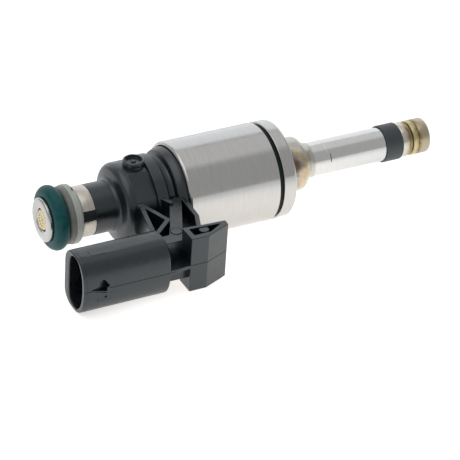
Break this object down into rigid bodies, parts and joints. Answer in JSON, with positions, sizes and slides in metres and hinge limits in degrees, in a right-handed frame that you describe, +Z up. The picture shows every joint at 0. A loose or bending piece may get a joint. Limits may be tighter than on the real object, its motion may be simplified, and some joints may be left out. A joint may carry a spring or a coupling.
{
  "type": "direct injection fuel injector",
  "caption": "Solenoid petrol direct injector: turned steel body with slim nozzle, O-ring inlet and a moulded two-contact electrical connector on a side arm.",
  "frame": {"origin": "middle of the bounding box, on the surface that the injector lies on", "axes": "+X along the injector from the fuel inlet to the spray tip, +Y away from the connector, +Z up from the surface; the injector's own axis is parallel to X, 10.25 mm up and at y = 8.1 mm, and the connector arm leans 9.5 degrees down from -Y until the connector rests on the surface"},
  "size_m": [0.0904, 0.0368, 0.0205],
  "materials": {
    "steel": "turned stainless steel, fine circumferential grain",
    "magnet_steel": "darker soft magnetic steel, turned",
    "tip_steel": "turned stainless steel with a tan and brown heat tint",
    "overmould": "near-black glass-filled plastic, satin, with fine moulded grain",
    "o_ring": "dark teal rubber, satin",
    "backup_plastic": "pale grey translucent plastic, smooth",
    "black_seal": "black, satin",
    "contacts": "tin-plated copper alloy, smooth",
    "brass": "turned brass",
    "copper": "enamelled copper wire",
    "strainer_plastic": "cream plastic, smooth"
  },
  "bodies": {
    "root": {"inlet_tube": "steel", "inlet_o_ring": "o_ring", "backup_ring": "backup_plastic", "spacer_ring": "steel", "fuel_strainer": "strainer_plastic", "strainer_collar": "brass", "connector_body": "overmould", "terminal_upper": "contacts", "terminal_lower": "contacts", "magnet_housing": "steel", "housing_cover": "steel", "housing_seal_ring": "black_seal", "top_washer": "magnet_steel", "coil_bobbin": "overmould", "coil_winding": "copper", "inner_pole": "magnet_steel", "adjusting_sleeve": "steel", "valve_sleeve": "steel", "closing_spring": "steel", "overtravel_spring": "steel", "valve_body": "steel", "nozzle_tube": "steel", "nozzle_support_ring": "black_seal", "needle_guide": "magnet_steel", "valve_seat": "tip_steel"},
    "needle_group": {"needle": "steel", "needle_ball": "steel", "upper_stop_ring": "steel", "lower_stop_sleeve": "steel"},
    "armature_group": {"armature": "magnet_steel"}
  },
  "joints": [
    {"name": "needle_lift", "type": "slide", "parent": "root", "child": "needle_group", "axis": [-1, 0, 0], "range_m": [0, 0.00009], "stiffness_N_per_m": 5000, "springref_m": -0.005, "deforming": ["closing_spring"]},
    {"name": "armature_overtravel", "type": "slide", "parent": "needle_group", "child": "armature_group", "axis": [1, 0, 0], "range_m": [0, 0.00004], "stiffness_N_per_m": 1000, "springref_m": -0.003, "deforming": ["overtravel_spring"]}
  ]
}
